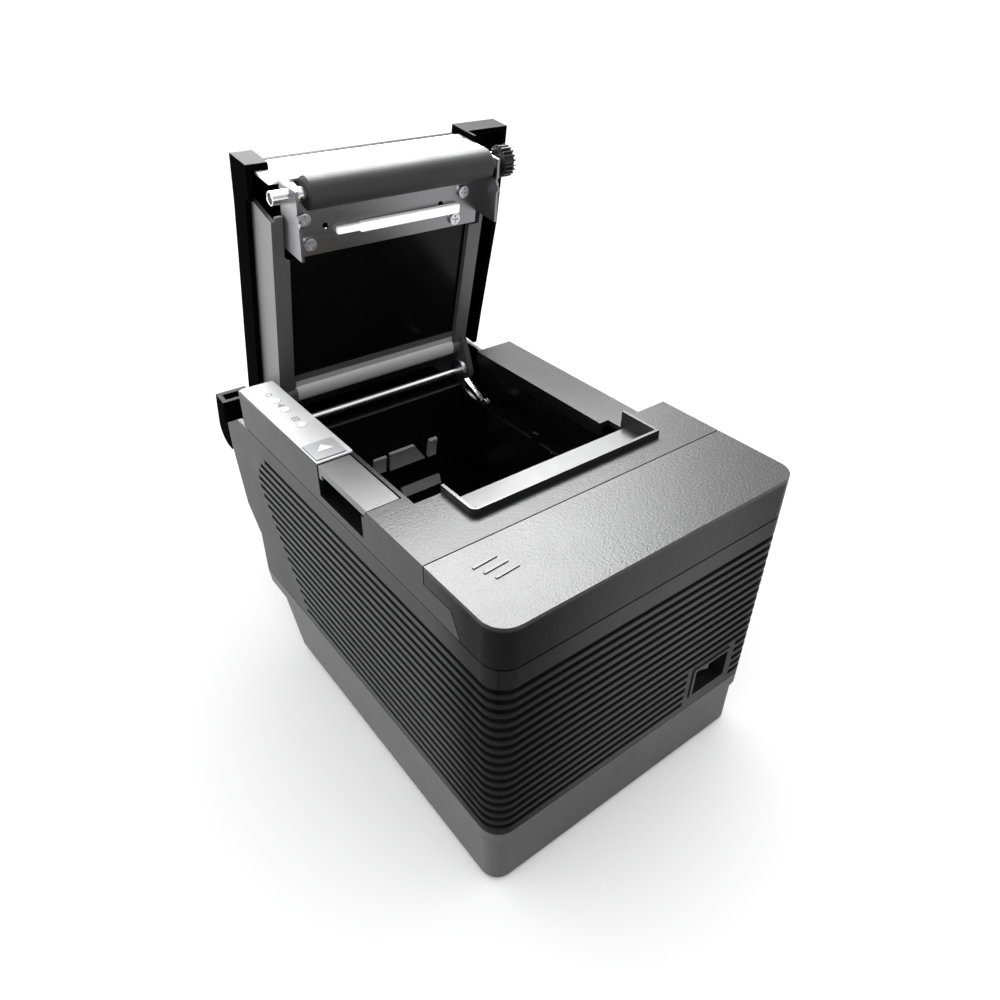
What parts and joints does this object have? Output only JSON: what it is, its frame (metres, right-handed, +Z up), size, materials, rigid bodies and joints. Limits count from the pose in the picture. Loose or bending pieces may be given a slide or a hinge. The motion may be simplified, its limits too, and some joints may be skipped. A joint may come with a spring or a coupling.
{
  "type": "receipt printer",
  "caption": "Countertop thermal receipt printer: ribbed upright case, paper bay, rubber roller on a hinged lid standing open, latch lever, feed button and rear sockets.",
  "frame": {"origin": "middle of the footprint of the whole part, lid open, on the surface its feet rest on", "axes": "+Z up; the front face looks towards -Y; the lid hinge runs along X"},
  "size_m": [0.145, 0.2246, 0.2346],
  "materials": {
    "case_grey": "fine texture",
    "top_grey": "fine texture",
    "liner_grey": "satin",
    "black_matte": "matt",
    "black_gloss": "gloss",
    "label_grey": "satin",
    "button_grey": "satin",
    "lamp_clear": "gloss",
    "steel": "brushed",
    "bright_sheet": "satin",
    "chrome": "polished",
    "rubber_dark": "matt",
    "nylon": "satin",
    "gear_black": "satin",
    "board_green": "satin",
    "ceramic_tan": "satin",
    "motor_steel": "satin"
  },
  "bodies": {
    "printer_body": {"base_pan": "case_grey", "main_case": "case_grey", "top_case": "top_grey", "front_cover": "top_grey", "status_label": "label_grey", "lamp_lenses": "lamp_clear", "exit_guard": "black_matte", "tear_bar": "steel", "window_bezel": "black_matte", "switch_housing": "black_matte", "connector_plate": "steel", "dc_inlet": "black_matte", "usb_port": "steel", "network_port": "steel", "drawer_port": "black_matte", "serial_port": "steel", "mech_posts": "black_matte", "rubber_feet": "rubber_dark", "base_screws": "steel", "roll_bucket": "black_gloss", "mech_frame": "steel", "head_springs": "steel", "heat_sink": "bright_sheet", "print_head": "ceramic_tan", "cutter_plate": "steel", "cutter_motor": "motor_steel", "drive_motor": "motor_steel", "idler_pin": "steel", "main_board": "board_green", "board_parts": "black_matte", "board_posts": "black_matte", "hinge_brackets": "steel", "hinge_rod": "steel", "detent_spring": "steel", "sensor_window": "button_grey", "sensor_posts": "button_grey", "roll_rest": "button_grey", "latch_pin": "steel", "paper_sensor": "black_matte", "indicator_board": "board_green", "button_switch": "black_matte"},
    "lid": {"lid_shell": "case_grey", "lid_liner": "liner_grey", "lid_panel": "black_gloss", "platen_bracket": "bright_sheet", "bracket_screws": "steel", "guide_bar": "nylon", "roller_bushings": "chrome"},
    "platen": {"platen_shaft": "steel", "platen_rubber": "rubber_dark", "platen_gear": "gear_black"},
    "lever": {"latch_lever": "top_grey"},
    "latch": {"latch_shaft": "steel", "latch_hooks": "steel"},
    "feed": {"feed_button": "button_grey"},
    "rocker": {"power_rocker": "button_grey"},
    "pinion": {"drive_pinion": "nylon"},
    "idler": {"idler_gear": "nylon"},
    "cutter_drive": {"cutter_pinion": "nylon"},
    "cutter": {"cutter_blade": "steel"}
  },
  "joints": [
    {"name": "lid_hinge", "type": "hinge", "parent": "printer_body", "child": "lid", "pos_m": [0, 0.07451, 0.1164], "axis": [1, 0, 0], "range_deg": [0, 82.4]},
    {"name": "platen_spin", "type": "hinge", "parent": "lid", "child": "platen", "pos_m": [0, 0.04972, 0.22438], "axis": [1, 0, 0], "continuous": true},
    {"name": "lever_hinge", "type": "hinge", "parent": "printer_body", "child": "lever", "pos_m": [-0.065, -0.04179, 0.1331], "axis": [1, 0, 0], "range_deg": [0, 18], "stiffness_Nm_per_rad": 0.02, "springref_deg": -11.46},
    {"name": "latch_turn", "type": "hinge", "parent": "printer_body", "child": "latch", "pos_m": [0, -0.05379, 0.1035], "axis": [1, 0, 0], "range_deg": [0, 10.8], "stiffness_Nm_per_rad": 0.2, "springref_deg": -5.73},
    {"name": "feed_press", "type": "slide", "parent": "printer_body", "child": "feed", "axis": [0, 0, -1], "range_m": [0, 0.0008], "stiffness_N_per_m": 300, "springref_m": -0.0008},
    {"name": "power_rock", "type": "hinge", "parent": "printer_body", "child": "rocker", "pos_m": [0.04325, -0.10079, 0.0485], "axis": [0, 0, 1], "range_deg": [0, 16]},
    {"name": "idler_spin", "type": "hinge", "parent": "printer_body", "child": "idler", "pos_m": [0.0525, -0.03579, 0.0927], "axis": [1, 0, 0], "continuous": true},
    {"name": "motor_spin", "type": "hinge", "parent": "printer_body", "child": "pinion", "pos_m": [0.0525, -0.04154, 0.08274], "axis": [1, 0, 0], "continuous": true},
    {"name": "cutter_slide", "type": "slide", "parent": "printer_body", "child": "cutter", "axis": [0, 1, 0], "range_m": [0, 0.007]},
    {"name": "cutter_spin", "type": "hinge", "parent": "printer_body", "child": "cutter_drive", "pos_m": [-0.0375, -0.05979, 0.1275], "axis": [0, 0, 1], "range_deg": [0, 84]}
  ],
  "couplings": [
    {"joint": "motor_spin", "follows": "idler_spin", "ratio": -1.7143},
    {"joint": "latch_turn", "follows": "lever_hinge", "ratio": 0.6},
    {"joint": "cutter_spin", "follows": "cutter_slide", "rad_per_m": 208.33}
  ]
}
